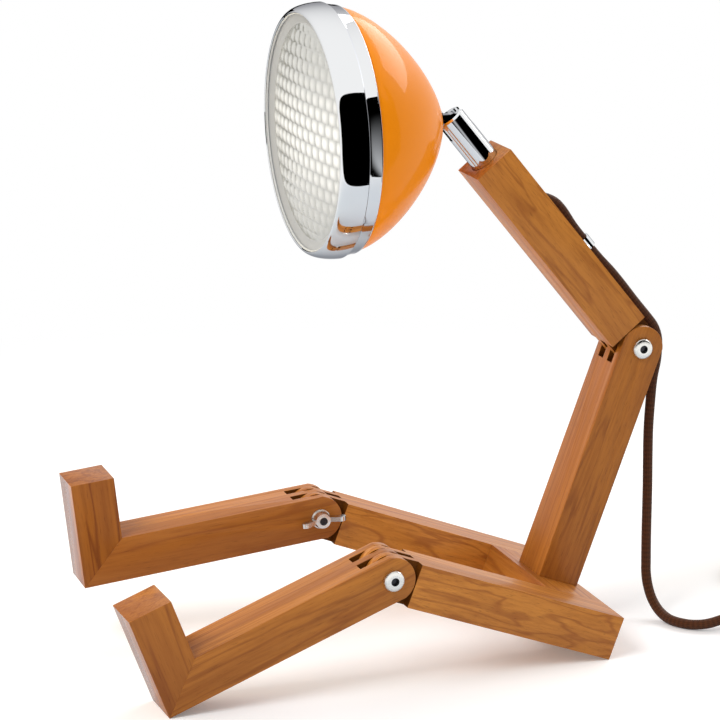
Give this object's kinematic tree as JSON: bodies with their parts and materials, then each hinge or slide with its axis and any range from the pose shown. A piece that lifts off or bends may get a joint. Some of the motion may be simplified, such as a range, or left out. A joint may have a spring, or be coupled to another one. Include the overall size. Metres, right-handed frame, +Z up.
{
  "type": "articulated desk lamp",
  "caption": "Sitting timber figure with bolted knee and waist hinges, a swivel and tilt neck, a round headlamp, and a corded in-line switch",
  "frame": {"origin": "on the surface that the lamp sits on, under the middle of the lamp's own bounding box without its cord", "axes": "+X is the figure's left side, -Y is forward, where the lamp shines, and +Z is up"},
  "size_m": [0.1989, 0.521, 0.3594],
  "materials": {
    "oiled_teak": "clear satin lacquer",
    "beech_dowel": "raw",
    "zinc_steel": "zinc plated",
    "chrome": "polished",
    "black_rubber": "matte",
    "orange_paint": "gloss",
    "prism_glass": "pressed prism pattern",
    "pale_rubber": "matte",
    "mirror_dish": "vapour-plated mirror",
    "brass_nut": "machined",
    "ivory_plastic": "matte",
    "frosted_glass": "frosted",
    "brown_plastic": "satin",
    "black_plastic": "satin",
    "brown_textile": "braided"
  },
  "bodies": {
    "seat_and_cord": {"left_thigh": "oiled_teak", "right_thigh": "oiled_teak", "seat_block": "oiled_teak", "seat_dowels": "beech_dowel", "lower_torso": "oiled_teak", "torso_screws": "zinc_steel", "waist_bolt": "chrome", "waist_washer": "chrome", "left_knee_bolt": "chrome", "left_knee_washer": "chrome", "right_knee_bolt": "chrome", "right_knee_washer": "chrome", "cord_waist": "brown_textile", "cord_drop": "brown_textile", "cord_lead": "brown_textile", "cord_coil": "brown_textile", "cord_tail": "brown_textile", "switch_base": "brown_plastic", "switch_cover": "brown_plastic", "switch_block": "ivory_plastic", "switch_screws": "zinc_steel", "switch_sleeves": "brown_plastic", "plug_body": "brown_plastic", "plug_pins": "zinc_steel"},
    "left_leg": {"left_shin": "oiled_teak", "left_foot": "oiled_teak", "left_foot_dowels": "beech_dowel"},
    "right_leg": {"right_shin": "oiled_teak", "right_foot": "oiled_teak", "right_foot_dowels": "beech_dowel"},
    "torso": {"upper_torso": "oiled_teak", "neck_set_screw": "zinc_steel", "cord_bush": "black_rubber", "cord_clip": "chrome", "clip_screws": "chrome", "cord_back": "brown_textile"},
    "neck": {"neck_tube": "chrome", "tilt_pin": "zinc_steel"},
    "head": {"head_tongue": "chrome", "head_shell": "orange_paint", "head_rim": "chrome", "rim_screw": "zinc_steel", "lens": "prism_glass", "lens_seal": "pale_rubber", "reflector": "mirror_dish", "stem_nut": "brass_nut", "holder_bracket": "zinc_steel", "bracket_screws": "zinc_steel", "lamp_holder": "ivory_plastic", "bulb": "frosted_glass"},
    "waist_nut": {"waist_wing_nut": "chrome"},
    "left_knee_nut": {"left_wing_nut": "chrome"},
    "right_knee_nut": {"right_wing_nut": "chrome"},
    "rocker": {"switch_rocker": "black_plastic"}
  },
  "joints": [
    {"name": "left_knee", "type": "hinge", "parent": "seat_and_cord", "child": "left_leg", "pos_m": [0.05933, -0.01762, 0.06096], "axis": [0.9996, 0.0261, -0.0098], "range_deg": [-131.4, 48.6]},
    {"name": "right_knee", "type": "hinge", "parent": "seat_and_cord", "child": "right_leg", "pos_m": [-0.05933, -0.01762, 0.06096], "axis": [0.9996, -0.0261, 0.0098], "range_deg": [-116.8, 63.2]},
    {"name": "waist", "type": "hinge", "parent": "seat_and_cord", "child": "torso", "pos_m": [0, 0.15143, 0.15943], "axis": [1, 0, 0], "range_deg": [-89.5, 30.5], "deforming": ["cord_waist"]},
    {"name": "neck_swivel", "type": "hinge", "parent": "torso", "child": "neck", "pos_m": [0, 0.06204, 0.26925], "axis": [0, -0.6313, 0.7756], "range_deg": [-90, 90]},
    {"name": "head_tilt", "type": "hinge", "parent": "neck", "child": "head", "pos_m": [0, 0.0436, 0.29189], "axis": [1, 0, 0], "range_deg": [-50, 30]},
    {"name": "waist_nut_turn", "type": "hinge", "parent": "seat_and_cord", "child": "waist_nut", "pos_m": [0, 0.15143, 0.15943], "axis": [1, 0, 0], "continuous": true},
    {"name": "left_knee_nut_turn", "type": "hinge", "parent": "seat_and_cord", "child": "left_knee_nut", "pos_m": [0.05933, -0.01762, 0.06096], "axis": [0.9996, 0.0261, -0.0098], "continuous": true},
    {"name": "right_knee_nut_turn", "type": "hinge", "parent": "seat_and_cord", "child": "right_knee_nut", "pos_m": [-0.05933, -0.01762, 0.06096], "axis": [0.9996, -0.0261, 0.0098], "continuous": true},
    {"name": "switch_press", "type": "hinge", "parent": "seat_and_cord", "child": "rocker", "pos_m": [0.045, 0.24907, 0.0135], "axis": [1, 0, 0], "range_deg": [-16, 0]}
  ]
}
